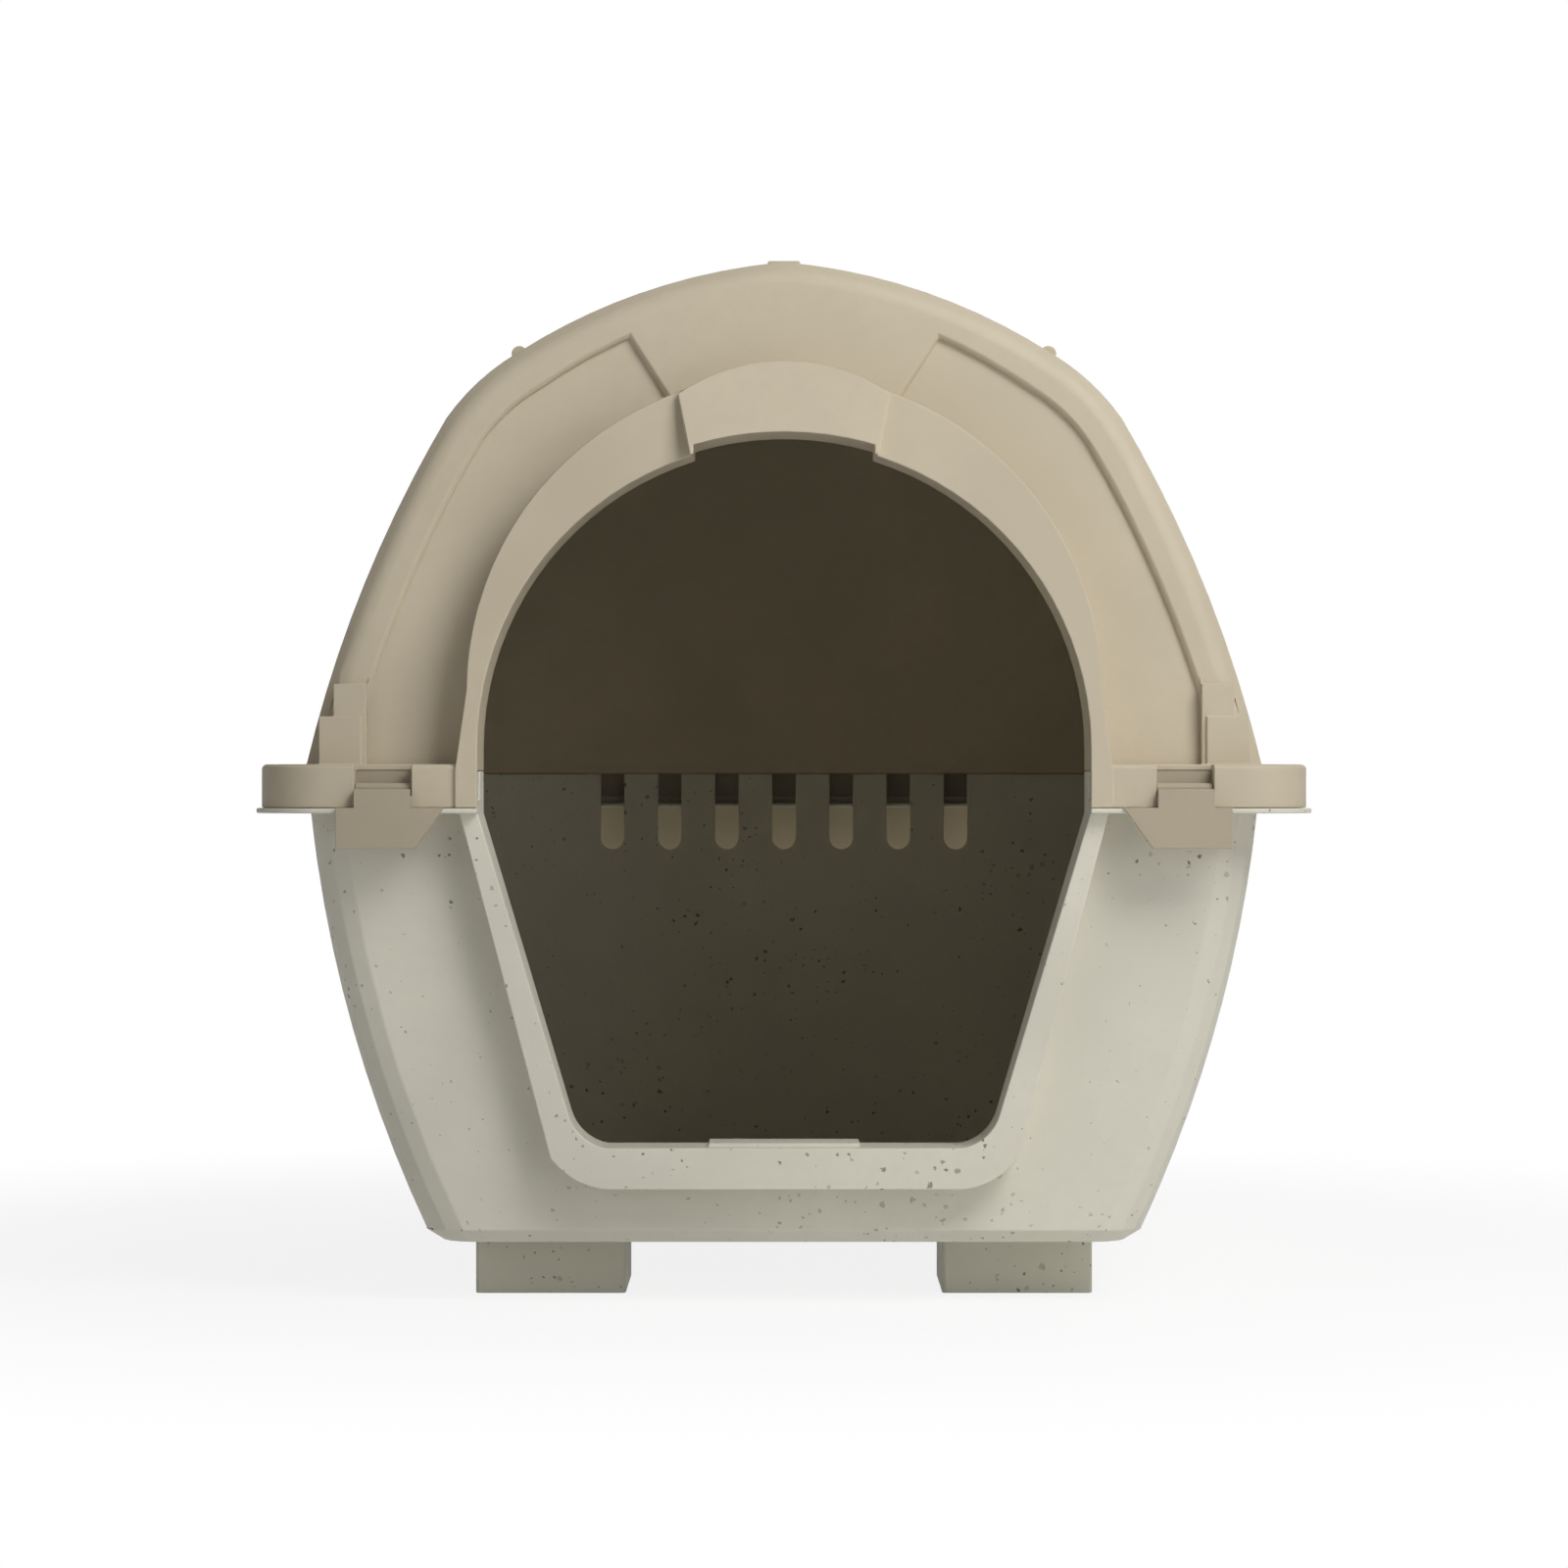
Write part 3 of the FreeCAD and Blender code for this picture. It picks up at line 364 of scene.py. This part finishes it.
def plastic(name, colour, flecks, looks):
    """Moulded plastic with a fine matt grain, faint flow clouds and, on some pieces, flecks."""
    nodes = Nodes(name)
    clouds = nodes.noise(CLOUD_SIZE)
    mottle = nodes.noise(MOTTLE_SIZE, detail=4, roughness=0.6)
    grain = nodes.noise(looks.grain_size, roughness=0.6)
    base = linear(colour)
    dark = shade(base, DARK_SHARE)
    tint = nodes.blend(nodes.ramp(clouds, MIDDLE_SPAN), dark, shade(base, PALE_SHARE))
    tint = nodes.blend(nodes.ramp(mottle, MOTTLE_SPAN, MOTTLE_STRENGTH), tint, dark)
    if flecks:
        for share in FLECK_LAYERS:
            mask = flecks_mask(nodes, looks.fleck_size * share, looks.fleck_spacing * share)
            tint = nodes.blend(mask, tint, linear(looks.fleck_colour))
    inputs = {
        "Base Color": tint,
        "Roughness": nodes.ramp(mottle, WIDE_SPAN, PLASTIC_ROUGHNESS),
        "IOR": PLASTIC_IOR,
        "Specular IOR Level": PLASTIC_SPECULAR,
        "Normal": nodes.bump(grain, looks.grain_depth),
    }
    return nodes.finish(nodes.add("ShaderNodeBsdfPrincipled", inputs))


def zinc(name, looks):
    """Plated steel with a faint brushed grain."""
    nodes = Nodes(name)
    squeeze = nodes.add(
        "ShaderNodeMapping", {"Vector": nodes.place, "Scale": (1.0, 1.0, BRUSH_SQUEEZE)}
    )
    nodes.place = squeeze.outputs["Vector"]
    brush = nodes.noise(BRUSH_SIZE, detail=4)
    base = linear(looks.zinc_colour)
    inputs = {
        "Base Color": nodes.blend(
            nodes.ramp(brush, MIDDLE_SPAN), shade(base, BRUSH_DARK_SHARE), base
        ),
        "Metallic": 1.0,
        "Roughness": nodes.ramp(brush, WIDE_SPAN, ZINC_ROUGHNESS),
        "Normal": nodes.bump(brush, BRUSH_DEPTH),
    }
    return nodes.finish(nodes.add("ShaderNodeBsdfPrincipled", inputs))


def edge_weights():
    """Geometry nodes that weigh each edge for rounding: fully between flats, in part where sharp."""
    tree = bpy.data.node_groups.new("edge_weights", "GeometryNodeTree")
    tree.interface.new_socket("Mesh", in_out="INPUT", socket_type="NodeSocketGeometry")
    tree.interface.new_socket("Share", in_out="INPUT", socket_type="NodeSocketFloat")
    tree.interface.new_socket("Mesh", in_out="OUTPUT", socket_type="NodeSocketGeometry")
    source = tree.nodes.new("NodeGroupInput").outputs
    angle = tree.nodes.new("GeometryNodeInputMeshEdgeAngle").outputs["Unsigned Angle"]

    def beyond(turn, then, otherwise):
        """One value where an edge's angle is over a turn, and another where it isn't."""
        over = tree.nodes.new("FunctionNodeCompare")
        feed(tree, over.inputs["A"], angle)
        feed(tree, over.inputs["B"], math.radians(turn))
        choice = tree.nodes.new("GeometryNodeSwitch")
        choice.input_type = "FLOAT"
        feed(tree, choice.inputs["Switch"], over.outputs["Result"])
        feed(tree, choice.inputs["True"], then)
        feed(tree, choice.inputs["False"], otherwise)
        return choice.outputs["Output"]

    store = tree.nodes.new("GeometryNodeStoreNamedAttribute")
    store.data_type = "FLOAT"
    store.domain = "EDGE"
    feed(tree, store.inputs["Name"], "bevel_weight_edge")
    feed(tree, store.inputs["Geometry"], source["Mesh"])
    weight = beyond(FACET_TURN, beyond(SHARP_TURN, source["Share"], 1.0), 0.0)
    feed(tree, store.inputs["Value"], weight)
    smooth = tree.nodes.new("GeometryNodeSetShadeSmooth")
    feed(tree, smooth.inputs["Geometry"], store.outputs["Geometry"])
    target = tree.nodes.new("NodeGroupOutput")
    feed(tree, target.inputs["Mesh"], smooth.outputs["Geometry"])
    return tree


def round_edges(node, width, flat_width):
    """Join the faces of a moulding and round its edges, more widely between flats."""
    join = node.modifiers.new("join", "WELD")
    join.merge_threshold = JOIN_REACH
    merge = node.modifiers.new("merge", "DECIMATE")
    merge.decimate_type = "DISSOLVE"
    merge.angle_limit = math.radians(FLAT_TURN)
    weigh = node.modifiers.new("weigh", "NODES")
    weigh.node_group = bpy.data.node_groups.get("edge_weights") or edge_weights()
    share = weigh.node_group.interface.items_tree["Share"].identifier
    weigh[share] = width / flat_width
    rounding = node.modifiers.new("rounding", "BEVEL")
    rounding.width = flat_width
    rounding.segments = ROUNDING_FACES
    rounding.limit_method = "WEIGHT"
    rounding.use_clamp_overlap = False
    even = node.modifiers.new("even", "WEIGHTED_NORMAL")
    even.mode = "FACE_AREA_WITH_ANGLE"


def dress(names, material, width, flat_width):
    """Give CAD nodes rounded edges, and a material in place of their own."""
    for name in names:
        node = frame["nodes"][name]
        node.data.materials.clear()
        node.data.materials.append(material)
        round_edges(node, width, flat_width)


class DOGHOUSE_OT_roof(bpy.types.Operator):
    """Give the roof its warm moulded plastic"""

    bl_idname = "doghouse.roof"
    bl_label = "Finish Roof"

    def execute(self, context):
        looks = context.scene.dog_house_finish
        material = plastic("roof_plastic", looks.roof_colour, False, looks)
        dress(ROOF_NODES, material, looks.edge_width, looks.flat_width)
        return {"FINISHED"}


class DOGHOUSE_OT_latches(bpy.types.Operator):
    """Give the four latches their plastic"""

    bl_idname = "doghouse.latches"
    bl_label = "Finish Latches"

    def execute(self, context):
        if not LATCH_NODES:
            raise RuntimeError("the house has no latches")
        looks = context.scene.dog_house_finish
        material = plastic("latch_plastic", looks.latch_and_notch_shade_colour, False, looks)
        width = looks.edge_width * LATCH_EDGE_SHARE
        dress(LATCH_NODES, material, width, width)
        return {"FINISHED"}


class DOGHOUSE_OT_tub(bpy.types.Operator):
    """Give the tub its pale flecked plastic"""

    bl_idname = "doghouse.tub"
    bl_label = "Finish Tub"

    def execute(self, context):
        looks = context.scene.dog_house_finish
        material = plastic("tub_plastic", looks.tub_colour, True, looks)
        dress(TUB_NODES, material, looks.edge_width, looks.flat_width * TUB_FLAT_SHARE)
        return {"FINISHED"}


class DOGHOUSE_OT_feet(bpy.types.Operator):
    """Give the four feet their flecked plastic"""

    bl_idname = "doghouse.feet"
    bl_label = "Finish Feet"

    def execute(self, context):
        looks = context.scene.dog_house_finish
        material = plastic("foot_plastic", looks.foot_colour, True, looks)
        dress(FOOT_NODES, material, looks.edge_width, looks.edge_width)
        return {"FINISHED"}


def add_piece(name, form, material, body):
    """Make a piece from a form, riding on a body and with its finish from a slot."""
    mesh = bpy.data.meshes.new(name)
    bmesh.ops.recalc_face_normals(form, faces=form.faces)
    form.to_mesh(mesh)
    form.free()
    mesh.shade_smooth()
    mesh.set_sharp_from_angle(angle=math.radians(SHARP_TURN))
    mesh.materials.append(material)
    piece = bpy.data.objects.new(name, mesh)
    bpy.context.scene.collection.objects.link(piece)
    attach(piece, body)
    return piece


def skin_rings(form, rings):
    """Join rings of equal counts of points into a closed skin, with a cap at each end."""
    loops = [[form.verts.new(point) for point in ring] for ring in rings]
    for first, second in zip(loops, loops[1:]):
        for here in range(len(first)):
            beside = (here + 1) % len(first)
            form.faces.new((first[here], first[beside], second[beside], second[here]))
    form.faces.new(list(reversed(loops[0])))
    form.faces.new(loops[-1])


def pocket_profile():
    """Outline of a notch wall, out and up from the pin's axis, with a foot that curls out."""
    middle = [(-POCKET_BACK, POCKET_RISE)]
    for step in range(POCKET_CURL_FACES + 1):
        turn = math.pi / 2 * step / POCKET_CURL_FACES
        out = -POCKET_BACK + POCKET_CURL * (1 - math.cos(turn))
        middle.append((out, -POCKET_CURL * math.sin(turn)))
    middle.append((-POCKET_BACK + POCKET_CURL + POCKET_THICK, -POCKET_CURL))
    near, far = [], []
    for place, (out, up) in enumerate(middle):
        before, after = middle[max(0, place - 1)], middle[min(len(middle) - 1, place + 1)]
        along = Vector((after[0] - before[0], after[1] - before[1])).normalized()
        aside = Vector((-along[1], along[0])) * (POCKET_THICK / 2)
        near.append((out + aside[0], up + aside[1]))
        far.append((out - aside[0], up - aside[1]))
    return near + far[::-1]


class DOGHOUSE_OT_pockets(bpy.types.Operator):
    """Close each latch's notch with a wall behind the pin"""

    bl_idname = "doghouse.pockets"
    bl_label = "Add Notch Walls"

    def execute(self, context):
        # painted shade: the notch walls are part of the roof's moulding but take the latches' darker
        # plastic, so the hollow looks shaded
        material = bpy.data.materials["latch_plastic"]
        outline = pocket_profile()
        for name in LATCH_NODES:
            low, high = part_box(name)
            outward = math.copysign(1.0, low[1] + high[1])
            x, y, z = PINS[name]
            rings = [
                [(x + side * POCKET_HALF_WIDTH, y + outward * out, z + up) for out, up in outline]
                for side in (-1, 1)
            ]
            form = bmesh.new()
            skin_rings(form, rings)
            place = name.removeprefix("latch_")
            add_piece(f"notch_wall_{place}", form, material, "roof")
        return {"FINISHED"}


def screw_rings(place, seat, foot):
    """Rings of a pan-head screw from its tip at the foot to its head, whose rim lies on the seat."""

    def ring(radius, height):
        """One ring. Its radius may follow from the angle, and its height from the point's place."""
        points = []
        for step in range(SCREW_SIDES):
            turn = math.tau * step / SCREW_SIDES
            reach = radius(turn) if callable(radius) else radius
            x, y = reach * math.cos(turn), reach * math.sin(turn)
            up = height(x, y) if callable(height) else height
            points.append((place[0] + x, place[1] + y, up))
        return points

    def thread(height):
        """The radius round the shank at a height, which narrows at the tip."""
        taper = min(1.0, (height - foot) / (TIP_TURNS * THREAD_PITCH) + TIP_SHARE)

        def radius(turn):
            """The radius at an angle: widest on the thread's ridge."""
            phase = ((height - foot) / THREAD_PITCH - turn / math.tau) % 1.0
            ridge = 1 - abs(2 * phase - 1)
            return taper * (SCREW_RADIUS - THREAD_DEPTH * (1 - ridge))

        return radius

    def dome(x, y):
        """The head's top, less the cross recess that gets shallower to the ends of its arms."""
        share = min(1.0, math.hypot(x, y) / HEAD_RADIUS)
        top = seat + HEAD_SIDE + (HEAD_HEIGHT - HEAD_SIDE) * math.sqrt(1 - share ** 2)
        across, along = sorted((abs(x), abs(y)))
        wall = min(1.0, max(0.0, (RECESS_HALF_WIDTH - across) / RECESS_WALL))
        return top - wall * max(0.0, 1 - along / RECESS_REACH) * RECESS_DEPTH

    rings = []
    rows = round((seat - foot - HEAD_SIDE) / THREAD_PITCH * THREAD_ROWS)
    for row in range(rows + 1):
        height = foot + row * THREAD_PITCH / THREAD_ROWS
        rings.append(ring(thread(height), height))
    rings.append(ring(SCREW_RADIUS, seat - HEAD_SIDE / 2))
    rings.append(ring(SCREW_RADIUS, seat))
    rings.append(ring(HEAD_RADIUS, seat))
    for row in range(DOME_ROWS):
        rings.append(ring(HEAD_RADIUS * math.cos(math.pi / 2 * row / DOME_ROWS), dome))
    return rings


class DOGHOUSE_OT_screws(bpy.types.Operator):
    """Model and plate the four pan-head screws that hold the feet"""

    bl_idname = "doghouse.screws"
    bl_label = "Add Screws"

    def execute(self, context):
        looks = context.scene.dog_house_finish
        low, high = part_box("foot_screws")
        form = bmesh.new()
        for x in (low[0] + HEAD_RADIUS, high[0] - HEAD_RADIUS):
            for y in (low[1] + HEAD_RADIUS, high[1] - HEAD_RADIUS):
                skin_rings(form, screw_rings((x, y), high[2] - HEAD_HEIGHT, low[2]))
        material = zinc("screw_zinc", looks)
        screws = add_piece("cross_recess_screws", form, material, "base")
        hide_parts("foot_screws")
        return {"FINISHED"}


def cove_mesh(reach, radius):
    """A floor that bends up into a backdrop, as one strip."""
    rows = [(-reach, 0.0), (reach - radius, 0.0)]
    for step in range(1, COVE_FACES + 1):
        turn = math.pi / 2 * step / COVE_FACES
        rows.append((reach - radius + radius * math.sin(turn), radius - radius * math.cos(turn)))
    rows.append((reach, reach))
    mesh = bpy.data.meshes.new("floor")
    form = bmesh.new()
    edges = [[form.verts.new((side * reach, y, z)) for side in (-1, 1)] for y, z in rows]
    for (a, b), (c, d) in zip(edges, edges[1:]):
        form.faces.new((a, b, d, c)).smooth = True
    form.to_mesh(mesh)
    form.free()
    return mesh


def seen_share(nodes):
    """1 for the rays that see the backdrop straight, in a mirror or through glass, else 0."""
    path = nodes.add("ShaderNodeLightPath").outputs
    seen = path["Is Camera Ray"]
    for name in ("Is Glossy Ray", "Is Transmission Ray"):
        seen = nodes.maths("MAXIMUM", seen, path[name])
    return seen


def floor_material(stage):
    """Pale matt floor that looks white from the front but keeps the house's shadow."""
    nodes = Nodes("floor_pale")
    patches = nodes.noise(FLOOR_PATCH_SIZE)
    tint = nodes.blend(patches, linear(stage.floor_colour), FLOOR_PATCH_COLOUR)
    matt = nodes.add("ShaderNodeBsdfDiffuse", {"Color": tint})
    glow = nodes.add("ShaderNodeEmission", {"Color": WHITE, "Strength": 1.0})
    away = nodes.add("ShaderNodeVectorMath", {0: nodes.place}, operation="LENGTH")
    white = nodes.ramp(away.outputs["Value"], WHITE_REACH, WHITE_SHARE)
    share = nodes.maths("MULTIPLY", seen_share(nodes), white)
    inputs = {0: share, 1: matt.outputs[0], 2: glow.outputs[0]}
    return nodes.finish(nodes.add("ShaderNodeMixShader", inputs))


def set_world(stage):
    """An even grey sky that looks white to the camera."""
    world = bpy.data.worlds.new("studio")
    world.use_nodes = True
    tree = world.node_tree
    tree.nodes.clear()
    path = tree.nodes.new("ShaderNodeLightPath")
    sky = tree.nodes.new("ShaderNodeBackground")
    sky.inputs["Strength"].default_value = stage.sky_strength
    white = tree.nodes.new("ShaderNodeBackground")
    for background in (sky, white):
        background.inputs["Color"].default_value = WHITE
    mixed = tree.nodes.new("ShaderNodeMixShader")
    for number, source in enumerate((path.outputs["Is Camera Ray"], sky.outputs[0], white.outputs[0])):
        tree.links.new(source, mixed.inputs[number])
    output = tree.nodes.new("ShaderNodeOutputWorld")
    tree.links.new(mixed.outputs[0], output.inputs["Surface"])
    bpy.context.scene.world = world


def lamp(name, power, size, place, aim):
    """A square soft lamp at a place, turned to what it lights."""
    light = bpy.data.lights.new(name, "AREA")
    light.shape = "SQUARE"
    light.size = size
    light.energy = power
    item = bpy.data.objects.new(name, light)
    item.location = place
    item.rotation_euler = (Vector(aim) - Vector(place)).to_track_quat("-Z", "Y").to_euler()
    bpy.context.scene.collection.objects.link(item)


def add_camera(stage):
    """A level camera in front of the doorway that frames the house as the photograph does."""
    camera = bpy.data.cameras.new("camera")
    camera.sensor_width = SENSOR_WIDTH
    camera.lens = SENSOR_WIDTH * stage.camera_distance / (PIXEL_SIZE * PHOTO_SIDE)
    item = bpy.data.objects.new("camera", camera)
    item.location = (0.0, LOW[1] - stage.camera_distance, stage.camera_height)
    item.rotation_euler = (math.pi / 2, 0.0, 0.0)
    bpy.context.scene.collection.objects.link(item)
    bpy.context.scene.camera = item


class DOGHOUSE_OT_stage(bpy.types.Operator):
    """Set up the floor, the backdrop, the lamps and the camera"""

    bl_idname = "doghouse.stage"
    bl_label = "Set Stage"

    def execute(self, context):
        stage = context.scene.dog_house_stage
        floor = bpy.data.objects.new("floor", cove_mesh(stage.floor_reach, stage.cove_radius))
        floor.data.materials.append(floor_material(stage))
        context.scene.collection.objects.link(floor)
        set_world(stage)
        middle = (0.0, 0.0, (LOW[2] + HIGH[2]) / 2)
        for name, (size, place) in LAMPS.items():
            lamp(name, getattr(stage, f"{name}_power"), size, place, middle)
        add_camera(stage)
        context.scene.view_settings.view_transform = "Standard"
        return {"FINISHED"}


class DOGHOUSE_PT_panel(bpy.types.Panel):
    """Lists the finishes and the stage in the sidebar"""

    bl_idname = "DOGHOUSE_PT_panel"
    bl_label = "Dog House"
    bl_space_type = "VIEW_3D"
    bl_region_type = "UI"
    bl_category = "Dog House"

    def draw(self, context):
        for group in (context.scene.dog_house_finish, context.scene.dog_house_stage):
            for name in group.__annotations__:
                self.layout.prop(group, name)
        for step in STEPS:
            self.layout.operator(step.bl_idname)


STEPS = [
    DOGHOUSE_OT_stage,
    DOGHOUSE_OT_roof,
    DOGHOUSE_OT_latches,
    DOGHOUSE_OT_pockets,
    DOGHOUSE_OT_tub,
    DOGHOUSE_OT_feet,
    DOGHOUSE_OT_screws,
]
CLASSES = [DogHouseFinish, DogHouseStage, *STEPS, DOGHOUSE_PT_panel]


def register():
    """Add the classes, and hang the settings on the scene."""
    for part in CLASSES:
        bpy.utils.register_class(part)
    bpy.types.Scene.dog_house_finish = bpy.props.PointerProperty(type=DogHouseFinish)
    bpy.types.Scene.dog_house_stage = bpy.props.PointerProperty(type=DogHouseStage)


def unregister():
    """Take the settings and the classes away again."""
    del bpy.types.Scene.dog_house_stage
    del bpy.types.Scene.dog_house_finish
    for part in reversed(CLASSES):
        bpy.utils.unregister_class(part)


def main():
    """Run every step."""
    register()
    bpy.ops.doghouse.stage()
    bpy.ops.doghouse.roof()
    bpy.ops.doghouse.latches()
    bpy.ops.doghouse.pockets()
    bpy.ops.doghouse.tub()
    bpy.ops.doghouse.feet()
    bpy.ops.doghouse.screws()


if __name__ == "__main__":
    main()
